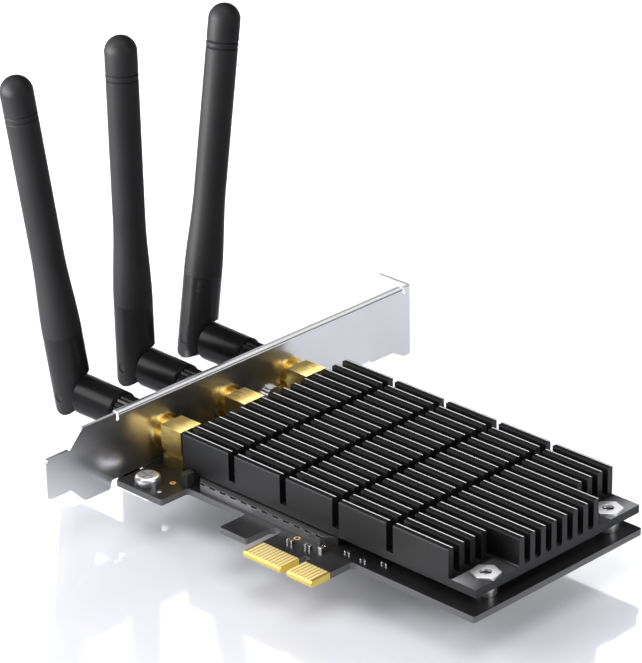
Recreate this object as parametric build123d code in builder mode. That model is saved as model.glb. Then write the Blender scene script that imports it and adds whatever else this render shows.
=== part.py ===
# PCIe x1 wireless network card with three hinged antennas
# X runs along the card away from the slot bracket
# Y runs from the gold edge fingers up the card
# Z points out of the component side
# The origin is the key notch datum at the finger tips, half way through the board
# All sizes are in millimetres
import os
from math import cos, radians, sin

from build123d import *

os.makedirs("parts", exist_ok=True)

# Board and edge connector
board_thickness = 1.57
key_to_face = 59.05
board_gap = 0.4
board_end = 104.1
board_back = 84.3
finger_tip = 16.2
board_front = 28.8
tab_front = 20.6
tab_end = 15.4
locator_start = 34.4
locator_end = 43.0
finger_left_width = 11.65
finger_right_width = 7.65
key_width = 1.9
key_depth = 7.65
finger_bevel = 0.45
locator_notch_round = 1.5
board_notch_round = 0.8
board_corner_round = 0.6
contact_pitch = 1.0
contact_width = 0.76
contact_length = 5.45
contact_margin = 0.55
contact_thickness = 0.05

# Slot bracket
sheet = 0.86
bracket_length = 120.02
bracket_width = 18.42
tongue_width = 10.19
tongue_length = 7.15
tongue_corner = 1.3
taper_end = 11.2
board_rise = 0.35
lip_depth = 1.7
lip_start = 22.4
lip_end_margin = 3.1
low_edge_height = 2.1
low_lip_depth = 2.85
low_lip_height = 1.0
low_lip_gap = 1.8
low_lip_end_margin = 15.7
low_ramp_margin = 6.8
low_ramp_length = 3.7
relief_rise = 0.9
relief_width = 0.7
bend_outer = 0.95
bend_inner = 0.2
bend_leg = 3.2
flange_bend = 1.0
flange_leg = 2.4
flange_corner = 1.2
flange_depth = 11.43
flange_slot_width = 4.42
flange_slot_offset = 6.2
flange_slot_reach = 4.6
tab_width = 7.0
tab_reach = 11.2
tab_1_start = 21.3
tab_2_start = 63.8
tab_relief = 0.4
tab_corner = 1.6
screw_setback = 6.4
clinch_nut_place = 70.9
clinch_nut_height = 5.5
clinch_nut_radius = 2.7
clinch_nut_thickness = 1.2
clinch_nut_bore = 1.0
clinch_nut_ridges = 19
clinch_nut_ridge_depth = 0.22

# Antenna jacks
jack_pitch = 20.5
first_jack = 36.6
jack_axis_height = 9.0
jack_hole = 3.25
jack_thread_radius = 3.1
jack_reach = 9.5
jack_block_start = 2.15
jack_block_length = 6.65
jack_block_width = 6.6
jack_block_height = 6.3
jack_shoulder_radius = 3.3
jack_foot_width = 6.2
jack_foot_neck = 5.2
jack_foot_gap = 0.9
washer_thickness = 0.55
washer_radius = 4.2
nut_flats = 8.0
nut_thickness = 2.0

# Antennas
collar_gap = 0.7
collar_length = 10.6
collar_radius = 4.15
collar_flute_depth = 0.28
collar_flutes = 22
neck_radius = 2.4
neck_length = 5.0
neck_rim_radius = 3.0
neck_rim_length = 1.0
swivel_clearance = 0.08
base_gap = 0.2
pivot_reach = 32.1
knuckle_radius = 4.75
base_end_radius = 4.6
lap_clearance = 0.1
shoulder_clearance = 0.2
hinge_pin_radius = 1.1
hinge_clearance = 0.06
hinge_pin_recess = 0.2
seam_height = 16.0
flare_end = 37.5
sleeve_bottom_radius = 4.72
sleeve_top_radius = 3.9
antenna_length = 83.8
sleeve_wall = 1.1
spigot_length = 3.5
groove_depth = 0.35
groove_width = 0.6
groove_drops = (6.75, 5.25)
element_radius = 0.5
element_tip_gap = 3.0
skirt_length = 23.0
skirt_radius = 2.0
skirt_wall = 0.3
lean_angles = (-8.9, -0.6, 8.7)

# Heat sink
sink_start = 11.0
sink_end = 101.8
sink_front = 31.8
sink_gap = 2.5
sink_base = 2.0
fin_height = 6.95
fin_thickness = 1.6
slot_round = 0.85
fin_pitch = 3.5
fin_count = 16
cross_cut_first = 27.1
cross_cut_pitch = 16.45
cross_cut_width = 2.0
cross_cut_count = 4
pocket_length = 7.9
pocket_fins = 4
near_screw_inset = 2.4
far_screw_inset = 3.3
corner_screw_side = 6.8

# Radio shield and chips
shield_start = 15.9
shield_end = 60.0
shield_front = 29.7
shield_back = 71.7
shield_height = 2.1
shield_wall = 0.25
shield_chamfer = 2.8
shield_slit_length = 1.8
shield_slit_width = 0.35
shield_slit_pitch = 3.4
shield_slit_count = 12

# Fasteners
bracket_screw_radius = 1.45
bracket_screw_head = 3.05
bracket_screw_head_height = 1.9
screw_clearance = 0.15
foot_drop = 1.2
standoff_radius = 2.5
sink_screw_radius = 1.35
sink_screw_head = 2.6
hex_nut_flats = 6.1
hex_nut_height = 0.7
hex_nut_turn = 40.0
recess_width = 0.8
recess_length = 3.4
recess_depth = 0.7

# Places that follow from the sizes above
face_x = -key_to_face
end_y = -finger_tip
board_top = board_thickness / 2
board_bottom = -board_thickness / 2
low_z = board_bottom - board_rise
jack_rows = [end_y + first_jack + n * jack_pitch for n in range(3)]
jack_z = low_z + jack_axis_height
outer_x = face_x - sheet
jack_tip_x = outer_x - jack_reach
collar_start_x = outer_x - nut_thickness - collar_gap
collar_end_x = collar_start_x - collar_length
pivot_x = face_x - pivot_reach
shoulder = knuckle_radius + shoulder_clearance
sink_low_z = board_top + sink_gap
sink_base_z = sink_low_z + sink_base
sink_top_z = sink_base_z + fin_height
sink_width = (fin_count - 1) * fin_pitch + fin_thickness
pocket_width = pocket_fins * fin_pitch - (fin_pitch - fin_thickness) / 2
lip_stop = bracket_length - lip_end_margin
screw_tip_z = board_bottom - foot_drop


def px(value):
    """Return the frame X of a distance from the bracket's inner face."""
    return face_x + value


def py(value):
    """Return the frame Y of a distance from the tip of the bracket's tongue."""
    return end_y + value


def pz(value):
    """Return the frame Z of a height above the bracket's lower edge."""
    return low_z + value


def save(piece, name):
    """Label a finished piece and write it to its own file."""
    piece.part.label = name
    export_step(piece.part, f"parts/{name}.step")


bracket_screw_spots = [
    (px(screw_setback), py(tab_1_start + tab_width / 2)),
    (px(screw_setback), py(tab_2_start + tab_width / 2)),
]
sink_screw_x = (px(sink_start + near_screw_inset), px(sink_end - far_screw_inset))
sink_screw_y = (
    py(sink_front + corner_screw_side),
    py(sink_front + sink_width - corner_screw_side),
)
sink_screw_spots = [(x, y) for x in sink_screw_x for y in sink_screw_y]
far_screw_spots = [(sink_screw_x[1], y) for y in sink_screw_y]


def bend_plane(y, z):
    """Return the section plane of a bend that runs along the bracket, local y pointing down."""
    return Plane(origin=(face_x, y, z), x_dir=(1, 0, 0), z_dir=(0, 1, 0))


def ridged_outline(radius, ridges, depth):
    """Return the corners of a round outline with ridges, centred on its own axis."""
    corners = []
    for n in range(2 * ridges):
        reach = radius - (n % 2) * depth
        turn = radians(180.0 * n / ridges)
        corners.append((reach * cos(turn), reach * sin(turn)))
    return corners


# Slot bracket folded from one sheet
tab_root = board_rise + tab_relief
hidden_lip = (
    tab_1_start + tab_width + low_lip_gap,
    tab_2_start - low_lip_gap,
    low_lip_height,
)
open_lip = (
    tab_2_start + tab_width + low_lip_gap,
    bracket_length - low_lip_end_margin,
    low_edge_height,
)
hidden_root = hidden_lip[2] + relief_rise
open_root = open_lip[2] + relief_rise
with BuildPart() as bracket:
    with BuildSketch(Plane.YZ.offset(outer_x)):
        with BuildLine():
            tongue_low = (bracket_width - tongue_width) / 2
            tongue_high = tongue_low + tongue_width
            outline = [
                (0, tongue_low),
                (tongue_length, tongue_low),
                (taper_end, 0),
                (tab_1_start - 2.4, 0),
                (tab_1_start - 1.8, low_edge_height),
                (tab_1_start, low_edge_height),
                (tab_1_start, tab_root),
                (tab_1_start + tab_width, tab_root),
                (tab_1_start + tab_width, hidden_root),
                (tab_2_start, hidden_root),
                (tab_2_start, tab_root),
                (tab_2_start + tab_width, tab_root),
                (tab_2_start + tab_width, hidden_root),
                (open_lip[0], hidden_root),
                (open_lip[0], open_root),
                (open_lip[1] + relief_width, open_root),
                (open_lip[1] + 2 * relief_width, low_edge_height),
                (bracket_length - low_ramp_margin, low_edge_height),
                (bracket_length - low_ramp_margin + low_ramp_length, 0),
                (bracket_length - flange_leg + 0.2, 0),
                (bracket_length - flange_leg + 0.2, bracket_width),
                (lip_stop + relief_width, bracket_width),
                (lip_stop + relief_width, bracket_width - 2 * relief_rise),
                (lip_stop, bracket_width - 2 * relief_rise),
                (lip_stop, bracket_width - bend_outer),
                (lip_start, bracket_width - bend_outer),
                (lip_start, bracket_width - 2 * relief_rise),
                (lip_start - relief_width, bracket_width - 2 * relief_rise),
                (lip_start - relief_width, bracket_width),
                (taper_end, bracket_width),
                (tongue_length, tongue_high),
                (0, tongue_high),
            ]
            Polyline([(py(y), pz(z)) for y, z in outline], close=True)
        make_face()
        fillet(vertices().sort_by(Axis.X)[:2], radius=tongue_corner)
    extrude(amount=sheet)
    # Upper lip
    with BuildSketch(bend_plane(py(lip_start), pz(bracket_width))):
        with BuildLine():
            Polyline(
                (0, 0),
                (-lip_depth, 0),
                (-lip_depth, sheet),
                (-sheet, sheet),
                (-sheet, bend_leg),
                (0, bend_leg),
                close=True,
            )
        make_face()
        fillet(vertices().sort_by_distance((0, 0))[0], radius=bend_outer)
        fillet(vertices().sort_by_distance((-sheet, sheet))[0], radius=bend_inner)
    extrude(amount=lip_stop - lip_start)
    # Lower lips
    for low_start, low_stop, low_height in (hidden_lip, open_lip):
        with BuildSketch(bend_plane(py(low_start), pz(low_height))):
            with BuildLine():
                Polyline(
                    (0, 0),
                    (-low_lip_depth, 0),
                    (-low_lip_depth, -sheet),
                    (-sheet, -sheet),
                    (-sheet, -bend_leg),
                    (0, -bend_leg),
                    close=True,
                )
            make_face()
            fillet(vertices().sort_by_distance((0, 0))[0], radius=bend_outer)
            fillet(vertices().sort_by_distance((-sheet, -sheet))[0], radius=bend_inner)
        extrude(amount=low_stop - low_start)
    # Tabs that reach under the board
    for tab_start in (tab_1_start, tab_2_start):
        with BuildSketch(bend_plane(py(tab_start), pz(board_rise))):
            with BuildLine():
                Polyline(
                    (0, 0),
                    (tab_reach, 0),
                    (tab_reach, sheet),
                    (-sheet, sheet),
                    (-sheet, -bend_leg),
                    (0, -bend_leg),
                    close=True,
                )
            make_face()
            fillet(vertices().sort_by_distance((-sheet, sheet))[0], radius=bend_outer)
            fillet(vertices().sort_by_distance((0, 0))[0], radius=bend_inner)
        extrude(amount=tab_width)
    tab_corners = bracket.edges().filter_by(Axis.Z)
    fillet(
        tab_corners.filter_by(lambda e: abs(e.center().X - px(tab_reach)) < 0.01),
        radius=tab_corner,
    )
    # End flange with its open screw slot
    with BuildSketch(Plane.XY.offset(pz(0))):
        with BuildLine():
            Polyline(
                (face_x, py(bracket_length)),
                (face_x - flange_depth, py(bracket_length)),
                (face_x - flange_depth, py(bracket_length - sheet)),
                (outer_x, py(bracket_length - sheet)),
                (outer_x, py(bracket_length - flange_leg)),
                (face_x, py(bracket_length - flange_leg)),
                close=True,
            )
        make_face()
        flange_outer = (face_x, py(bracket_length))
        flange_inner = (outer_x, py(bracket_length - sheet))
        fillet(vertices().sort_by_distance(flange_outer)[0], radius=flange_bend)
        fillet(vertices().sort_by_distance(flange_inner)[0], radius=flange_bend - sheet)
    extrude(amount=bracket_width)
    flange_edges = bracket.edges().filter_by(Axis.Y)
    fillet(
        flange_edges.filter_by(lambda e: abs(e.center().X - face_x + flange_depth) < 0.01),
        radius=flange_corner,
    )
    slot_x = face_x - flange_slot_offset
    with BuildSketch(Plane.XZ.offset(-py(bracket_length - flange_leg))):
        with Locations((slot_x, pz(flange_slot_reach))):
            Circle(flange_slot_width / 2)
        with Locations((slot_x, pz(0))):
            Rectangle(flange_slot_width, 2 * flange_slot_reach)
    extrude(amount=-2 * flange_leg, mode=Mode.SUBTRACT)
    # Jack holes and the tapped holes of the tabs
    with BuildSketch(Plane.YZ.offset(outer_x)):
        with Locations(*[(y, jack_z) for y in jack_rows]):
            Circle(jack_hole)
    extrude(amount=sheet, mode=Mode.SUBTRACT)
    with BuildSketch(Plane.XY.offset(board_bottom)):
        with Locations(*bracket_screw_spots):
            Circle(bracket_screw_radius)
    extrude(amount=-sheet, mode=Mode.SUBTRACT)
save(bracket, "bracket")

# Ridged clinch nut pressed against the bracket's inner face
with BuildPart() as clinch_nut:
    with BuildSketch(Plane.YZ.offset(face_x)):
        with Locations((py(clinch_nut_place), pz(clinch_nut_height))):
            Polygon(
                *ridged_outline(clinch_nut_radius, clinch_nut_ridges, clinch_nut_ridge_depth),
                align=None,
            )
            Circle(clinch_nut_bore, mode=Mode.SUBTRACT)
    extrude(amount=clinch_nut_thickness)
save(clinch_nut, "clinch_nut")

# Printed circuit board
finger_start_x = -key_width / 2 - finger_left_width
finger_end_x = key_width / 2 + finger_right_width
with BuildPart() as pcb:
    with BuildSketch(Plane.XY.offset(board_bottom)):
        with BuildLine():
            Polyline(
                (px(board_gap), py(tab_front)),
                (px(tab_end), py(tab_front)),
                (px(tab_end), py(board_front)),
                (px(locator_start), py(board_front)),
                (px(locator_start), py(tab_front)),
                (px(locator_end), py(tab_front)),
                (px(locator_end), py(board_front)),
                (finger_start_x, py(board_front)),
                (finger_start_x, 0),
                (-key_width / 2, 0),
                (-key_width / 2, key_depth),
                (key_width / 2, key_depth),
                (key_width / 2, 0),
                (finger_end_x, 0),
                (finger_end_x, py(board_front)),
                (px(board_end), py(board_front)),
                (px(board_end), py(board_back)),
                (px(board_gap), py(board_back)),
                close=True,
            )
        make_face()
        rounded = [
            (px(tab_end), py(tab_front), board_corner_round),
            (px(tab_end), py(board_front), board_notch_round),
            (px(locator_start), py(board_front), board_notch_round),
            (px(locator_start), py(tab_front), board_corner_round),
            (px(locator_end), py(tab_front), board_corner_round),
            (px(locator_end), py(board_front), locator_notch_round),
            (finger_start_x, py(board_front), locator_notch_round),
            (finger_end_x, py(board_front), board_notch_round),
            (px(board_end), py(board_front), board_corner_round),
            (px(board_end), py(board_back), board_corner_round),
        ]
        for corner_x, corner_y, corner_round in rounded:
            fillet(vertices().sort_by_distance((corner_x, corner_y))[0], radius=corner_round)
        with Locations(*bracket_screw_spots):
            Circle(bracket_screw_radius + screw_clearance, mode=Mode.SUBTRACT)
        with Locations(*sink_screw_spots):
            Circle(sink_screw_radius + screw_clearance, mode=Mode.SUBTRACT)
    extrude(amount=board_thickness)
    tip_edges = pcb.edges().filter_by(Axis.X).filter_by(lambda e: abs(e.center().Y) < 0.01)
    chamfer(tip_edges, length=finger_bevel)
save(pcb, "pcb")

# Gold contacts on both sides of the fingers
contact_spots = []
left_last = -key_width / 2 - contact_margin
for n in range(11):
    contact_spots.append(left_last - n * contact_pitch)
right_first = key_width / 2 + contact_margin
for n in range(7):
    contact_spots.append(right_first + n * contact_pitch)
contact_y = finger_bevel + contact_length / 2
for side, side_z, grow in (("top", board_top, 1), ("bottom", board_bottom, -1)):
    with BuildPart() as edge_contacts:
        with BuildSketch(Plane.XY.offset(side_z)):
            with Locations(*[(x, contact_y) for x in contact_spots]):
                Rectangle(contact_width, contact_length)
        extrude(amount=grow * contact_thickness)
    save(edge_contacts, f"edge_contacts_{side}")

# Extruded heat sink with crosswise saw cuts and two cleared corners
with BuildPart() as heat_sink:
    with BuildSketch(Plane.YZ.offset(px(sink_start))):
        with Locations((py(sink_front) + sink_width / 2, sink_low_z + sink_base / 2)):
            Rectangle(sink_width, sink_base)
        fin_rows = [
            py(sink_front) + fin_thickness / 2 + n * fin_pitch for n in range(fin_count)
        ]
        with Locations(*[(y, sink_base_z + fin_height / 2) for y in fin_rows]):
            Rectangle(fin_thickness, fin_height)
        slot_corners = [
            corner
            for corner in vertices()
            if abs(corner.Y - sink_base_z) < 0.01
            and py(sink_front) + 0.1 < corner.X < py(sink_front) + sink_width - 0.1
        ]
        fillet(slot_corners, radius=slot_round)
    extrude(amount=sink_end - sink_start)
    with BuildSketch(Plane.XY.offset(sink_base_z)):
        cut_rows = [px(cross_cut_first + n * cross_cut_pitch) for n in range(cross_cut_count)]
        with Locations(*[(x, py(sink_front) + sink_width / 2) for x in cut_rows]):
            Rectangle(cross_cut_width, sink_width + 2)
        pocket_x = px(sink_end) - pocket_length / 2 + 0.5
        front_y = py(sink_front) + pocket_width / 2 - 0.5
        back_y = py(sink_front) + sink_width - pocket_width / 2 + 0.5
        with Locations((pocket_x, front_y), (pocket_x, back_y)):
            Rectangle(pocket_length + 1, pocket_width + 1)
    extrude(amount=fin_height, mode=Mode.SUBTRACT)
    with BuildSketch(Plane.XY.offset(sink_base_z)):
        with Locations(*far_screw_spots):
            Circle(sink_screw_radius + screw_clearance)
    extrude(amount=-sink_base, mode=Mode.SUBTRACT)
    with BuildSketch(Plane.XY.offset(sink_low_z)):
        with Locations(*[(sink_screw_x[0], y) for y in sink_screw_y]):
            Circle(sink_screw_radius)
    extrude(amount=sink_base - 0.4, mode=Mode.SUBTRACT)
save(heat_sink, "heat_sink")

# Folded shield can over the radio section
shield_center = (px((shield_start + shield_end) / 2), py((shield_front + shield_back) / 2))
shield_size = (shield_end - shield_start, shield_back - shield_front)
with BuildPart() as shield_can:
    with BuildSketch(Plane.XY.offset(board_top)):
        with Locations(shield_center):
            Rectangle(*shield_size)
        chamfer(vertices(), length=shield_chamfer)
    extrude(amount=shield_height)
    with BuildSketch(Plane.XY.offset(board_top)):
        with Locations(shield_center):
            Rectangle(shield_size[0] - 2 * shield_wall, shield_size[1] - 2 * shield_wall)
        chamfer(vertices(), length=shield_chamfer - shield_wall / 2)
    extrude(amount=shield_height - shield_wall, mode=Mode.SUBTRACT)
    with BuildSketch(Plane.XY.offset(board_top + shield_height)):
        slit_y = py(shield_front)
        slit_start = shield_center[0] - (shield_slit_count - 1) * shield_slit_pitch / 2
        slit_row = [(slit_start + n * shield_slit_pitch, slit_y) for n in range(shield_slit_count)]
        with Locations(*slit_row):
            Rectangle(shield_slit_length, 2 * shield_slit_width)
    extrude(amount=-shield_slit_width, mode=Mode.SUBTRACT)
save(shield_can, "shield_can")

# Soft pad that carries heat from the shield to the heat sink
with BuildPart() as thermal_pad:
    with BuildSketch(Plane.XY.offset(board_top + shield_height)):
        with Locations((shield_center[0], py(sink_front) + 1.5 + (shield_size[1] - 6) / 2)):
            Rectangle(shield_size[0] - 6, shield_size[1] - 6)
    extrude(amount=sink_gap - shield_height)
save(thermal_pad, "thermal_pad")


def save_blocks(name, blocks):
    """Write one file of flat blocks that stand on the board.

    Args:
        name: label of the node.
        blocks: centre X, centre Y, length, width and height of each block.
    """
    with BuildPart() as group:
        for x, y, length, width, height in blocks:
            with BuildSketch(Plane.XY.offset(board_top)):
                with Locations((px(x), py(y))):
                    Rectangle(length, width)
            extrude(amount=height)
    save(group, name)


# Chips and passive parts on the component side
shield_mid_x = (shield_start + shield_end) / 2
shield_mid_y = (shield_front + shield_back) / 2
chip_mid_x = (shield_end + sink_end) / 2
chip_row_y = sink_front + 12.0
save_blocks("radio_chip", [(shield_mid_x, shield_mid_y, 12.0, 12.0, 0.9)])
save_blocks(
    "front_end_chips",
    [(shield_start + 6.0, shield_mid_y + n * 13.0, 3.4, 3.4, 0.8) for n in (-1, 0, 1)],
)
save_blocks("crystal", [(shield_end - 9.0, shield_mid_y - 6.0, 3.2, 2.5, 0.8)])
save_blocks("band_filter", [(tab_end - 1.0, board_front + 1.2, 2.0, 2.4, 3.3)])
save_blocks("flash_chip", [(chip_mid_x - 11.0, chip_row_y + 18.0, 5.2, 4.0, 1.6)])
save_blocks("power_inductor", [(chip_mid_x + 3.0, chip_row_y, 6.4, 6.4, 2.2)])
save_blocks("regulator_chip", [(chip_mid_x - 6.5, chip_row_y, 3.2, 3.2, 0.9)])
small_case = (1.7, 0.9)
large_case = (3.2, 1.7)
save_blocks(
    "smd_capacitors",
    [
        (shield_end - 8.4, board_front - 2.8, *small_case, 0.9),
        (shield_end - 3.8, board_front - 1.8, *small_case, 0.9),
        (shield_end - 0.8, board_front - 0.4, 1.0, 1.7, 0.9),
        (chip_mid_x - 15.0, chip_row_y - 4.0, *large_case, 1.5),
        (chip_mid_x - 2.0, chip_row_y - 6.0, *large_case, 1.5),
        (chip_mid_x + 9.0, chip_row_y - 6.0, *large_case, 1.5),
        (chip_mid_x - 15.0, chip_row_y + 8.0, *small_case, 0.9),
        (chip_mid_x - 1.0, chip_row_y + 10.0, *small_case, 0.9),
    ],
)
save_blocks(
    "smd_resistors",
    [
        (chip_mid_x - 16.5, board_front + 2.4, *small_case, 0.5),
        (chip_mid_x - 11.5, board_front + 2.2, *small_case, 0.5),
        (chip_mid_x - 7.0, board_front + 4.2, *small_case, 0.5),
        (chip_mid_x + 7.0, chip_row_y + 8.0, *small_case, 0.5),
        (chip_mid_x + 11.0, chip_row_y + 16.0, *small_case, 0.5),
        (chip_mid_x - 17.0, chip_row_y + 22.0, *small_case, 0.5),
    ],
)

# Antenna jacks with their washers and nuts
block_x = px(jack_block_start)
block_low_z = jack_z - jack_block_height / 2
for number, row_y in enumerate(jack_rows, start=1):
    with BuildPart() as jack_body:
        with BuildSketch(Plane.YZ.offset(block_x)):
            with Locations((row_y, jack_z)):
                Rectangle(jack_block_width, jack_block_height)
        extrude(amount=jack_block_length)
        low_edge = jack_body.edges().filter_by(Axis.Y).sort_by_distance(
            (block_x, row_y, block_low_z)
        )[0]
        fillet(low_edge, radius=1.6)
        foot_spot = (block_x + jack_block_length / 2 + 0.15, row_y)
        with BuildSketch(Plane.XY.offset(board_top)):
            with Locations(foot_spot):
                Rectangle(jack_block_length - 0.3, jack_foot_width)
        extrude(amount=block_low_z - board_top - jack_foot_gap)
        with BuildSketch(Plane.XY.offset(board_top)):
            with Locations(foot_spot):
                Rectangle(jack_block_length - 1.3, jack_foot_neck)
        extrude(amount=block_low_z - board_top + 0.5)
        with BuildSketch(Plane.YZ.offset(px(washer_thickness))):
            with Locations((row_y, jack_z)):
                Circle(jack_shoulder_radius)
        extrude(amount=jack_block_start - washer_thickness)
        with BuildSketch(Plane.YZ.offset(jack_tip_x)):
            with Locations((row_y, jack_z)):
                Circle(jack_thread_radius)
        extrude(amount=px(washer_thickness) - jack_tip_x)
        thread_lip = jack_body.edges().filter_by(GeomType.CIRCLE).sort_by(Axis.X)[0]
        chamfer(thread_lip, length=0.35)
        with BuildSketch(Plane.YZ.offset(jack_tip_x)):
            with Locations((row_y, jack_z)):
                Circle(jack_thread_radius - 0.75)
        extrude(amount=jack_reach, mode=Mode.SUBTRACT)
    save(jack_body, f"jack_body_{number}")

    with BuildPart() as jack_insulator:
        with BuildSketch(Plane.YZ.offset(jack_tip_x + 2.4)):
            with Locations((row_y, jack_z)):
                Circle(jack_thread_radius - 0.75)
                Circle(0.5, mode=Mode.SUBTRACT)
        extrude(amount=jack_reach - 2.4)
    save(jack_insulator, f"jack_insulator_{number}")

    with BuildPart() as jack_contact:
        with BuildSketch(Plane.YZ.offset(jack_tip_x + 1.0)):
            with Locations((row_y, jack_z)):
                Circle(0.5)
        extrude(amount=jack_reach - 1.0)
    save(jack_contact, f"jack_contact_{number}")

    with BuildPart() as jack_washer:
        with BuildSketch(Plane.YZ.offset(face_x)):
            with Locations((row_y, jack_z)):
                Circle(washer_radius)
                Circle(jack_hole, mode=Mode.SUBTRACT)
        extrude(amount=washer_thickness)
    save(jack_washer, f"jack_washer_{number}")

    with BuildPart() as jack_nut:
        with BuildSketch(Plane.YZ.offset(outer_x - nut_thickness)):
            with Locations((row_y, jack_z)):
                RegularPolygon(nut_flats / 2, 6, major_radius=False)
                Circle(jack_hole, mode=Mode.SUBTRACT)
        extrude(amount=nut_thickness)
    save(jack_nut, f"jack_nut_{number}")

# Hinged antennas, each on a knurled collar screwed to its jack
neck_end_x = collar_end_x - neck_length
rim_start_x = neck_end_x + neck_rim_length
for number, (row_y, lean) in enumerate(zip(jack_rows, lean_angles), start=1):
    axis_point = (0, row_y, jack_z)
    along = Axis(axis_point, (1, 0, 0))
    rise_y = sin(radians(lean))
    rise_z = cos(radians(lean))
    pivot = (pivot_x, row_y, jack_z)
    # Local x runs along the card and local y up the antenna
    side = Plane(origin=pivot, x_dir=(1, 0, 0), z_dir=(0, -rise_z, rise_y))
    upward = Axis(pivot, (0, rise_y, rise_z))

    with BuildPart() as collar:
        with BuildSketch(Plane.YZ.offset(collar_end_x)):
            with Locations((row_y, jack_z)):
                flutes = ridged_outline(collar_radius, collar_flutes, collar_flute_depth)
                Polygon(*flutes, align=None)
        extrude(amount=collar_length)
        with BuildSketch(Plane.YZ.offset(jack_tip_x)):
            with Locations((row_y, jack_z)):
                Circle(jack_thread_radius + screw_clearance)
        extrude(amount=collar_start_x - jack_tip_x, mode=Mode.SUBTRACT)
        with BuildSketch(Plane.YZ.offset(neck_end_x)):
            with Locations((row_y, jack_z)):
                Circle(neck_radius)
        extrude(amount=neck_length)
        with BuildSketch(Plane.YZ.offset(neck_end_x)):
            with Locations((row_y, jack_z)):
                Circle(neck_rim_radius)
        extrude(amount=neck_rim_length)
    save(collar, f"antenna_collar_{number}")

    with BuildPart() as antenna_base:
        base_start = collar_end_x - base_gap - pivot_x
        with BuildSketch(side):
            with BuildLine():
                Polyline(
                    (-knuckle_radius, 0),
                    (-knuckle_radius, knuckle_radius),
                    (shoulder, knuckle_radius),
                    (base_start - 0.4, base_end_radius),
                    (base_start, base_end_radius - 0.4),
                    (base_start, 0),
                    close=True,
                )
            make_face()
        revolve(axis=along)
        with BuildSketch(side.offset(-lap_clearance / 2)):
            with Locations((shoulder / 2 - knuckle_radius, 0)):
                Rectangle(shoulder + 2 * knuckle_radius, 4 * knuckle_radius)
        extrude(amount=2 * knuckle_radius, mode=Mode.SUBTRACT)
        with BuildSketch(side):
            with Locations((-knuckle_radius, 0)):
                Rectangle(2 * knuckle_radius, 4 * knuckle_radius)
            Circle(knuckle_radius, mode=Mode.SUBTRACT)
        extrude(amount=2 * knuckle_radius, both=True, mode=Mode.SUBTRACT)
        with BuildSketch(side):
            Circle(hinge_pin_radius)
        extrude(amount=2 * knuckle_radius, both=True, mode=Mode.SUBTRACT)
        with BuildSketch(Plane.YZ.offset(neck_end_x - 2 * swivel_clearance)):
            with Locations((row_y, jack_z)):
                Circle(neck_rim_radius + swivel_clearance)
        extrude(
            amount=rim_start_x - neck_end_x + 4 * swivel_clearance,
            mode=Mode.SUBTRACT,
        )
        with BuildSketch(Plane.YZ.offset(neck_end_x)):
            with Locations((row_y, jack_z)):
                Circle(neck_radius + swivel_clearance)
        extrude(amount=neck_length, mode=Mode.SUBTRACT)
    save(antenna_base, f"antenna_base_{number}")

    with BuildPart() as hinge_pin:
        with BuildSketch(side):
            Circle(hinge_pin_radius)
        extrude(amount=knuckle_radius - hinge_pin_recess, both=True)
    save(hinge_pin, f"hinge_pin_{number}")

    spigot_radius = sleeve_bottom_radius - sleeve_wall - 0.05
    with BuildPart() as knuckle:
        with BuildSketch(side):
            with BuildLine():
                Polyline(
                    (0, -knuckle_radius),
                    (knuckle_radius, -knuckle_radius),
                    (knuckle_radius, shoulder),
                    (sleeve_bottom_radius, seam_height),
                    (spigot_radius, seam_height),
                    (spigot_radius, seam_height + spigot_length),
                    (0, seam_height + spigot_length),
                    close=True,
                )
            make_face()
        revolve(axis=upward)
        with BuildSketch(side.offset(lap_clearance / 2)):
            with Locations((0, shoulder / 2 - knuckle_radius)):
                Rectangle(4 * knuckle_radius, shoulder + 2 * knuckle_radius)
        extrude(amount=-2 * knuckle_radius, mode=Mode.SUBTRACT)
        with BuildSketch(side):
            with Locations((0, -knuckle_radius)):
                Rectangle(4 * knuckle_radius, 2 * knuckle_radius)
            Circle(knuckle_radius, mode=Mode.SUBTRACT)
        extrude(amount=2 * knuckle_radius, both=True, mode=Mode.SUBTRACT)
        with BuildSketch(side):
            Circle(hinge_pin_radius + hinge_clearance)
        extrude(amount=2 * knuckle_radius, both=True, mode=Mode.SUBTRACT)
    save(knuckle, f"antenna_knuckle_{number}")

    dome_base = antenna_length - sleeve_top_radius
    with BuildPart() as sleeve:
        with BuildSketch(side):
            with BuildLine():
                inner_radius = sleeve_top_radius - sleeve_wall
                Line(
                    (sleeve_bottom_radius - sleeve_wall, seam_height),
                    (sleeve_bottom_radius, seam_height),
                )
                Spline(
                    (sleeve_bottom_radius, seam_height),
                    (sleeve_top_radius, flare_end),
                    tangents=[(0, 1), (0, 1)],
                )
                outer = [(sleeve_top_radius, flare_end)]
                for groove in (dome_base - drop for drop in groove_drops):
                    outer.append((sleeve_top_radius, groove - groove_width / 2))
                    outer.append((sleeve_top_radius - groove_depth, groove))
                    outer.append((sleeve_top_radius, groove + groove_width / 2))
                outer.append((sleeve_top_radius, dome_base))
                Polyline(*outer)
                RadiusArc((sleeve_top_radius, dome_base), (0, antenna_length), -sleeve_top_radius)
                Polyline(
                    (0, antenna_length),
                    (0, dome_base + 0.6),
                    (inner_radius - 0.6, dome_base + 0.6),
                    (inner_radius, dome_base - 0.8),
                    (inner_radius, flare_end),
                    (sleeve_bottom_radius - sleeve_wall, seam_height + spigot_length + 1),
                    (sleeve_bottom_radius - sleeve_wall, seam_height),
                )
            make_face()
        revolve(axis=upward)
    save(sleeve, f"antenna_sleeve_{number}")

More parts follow.
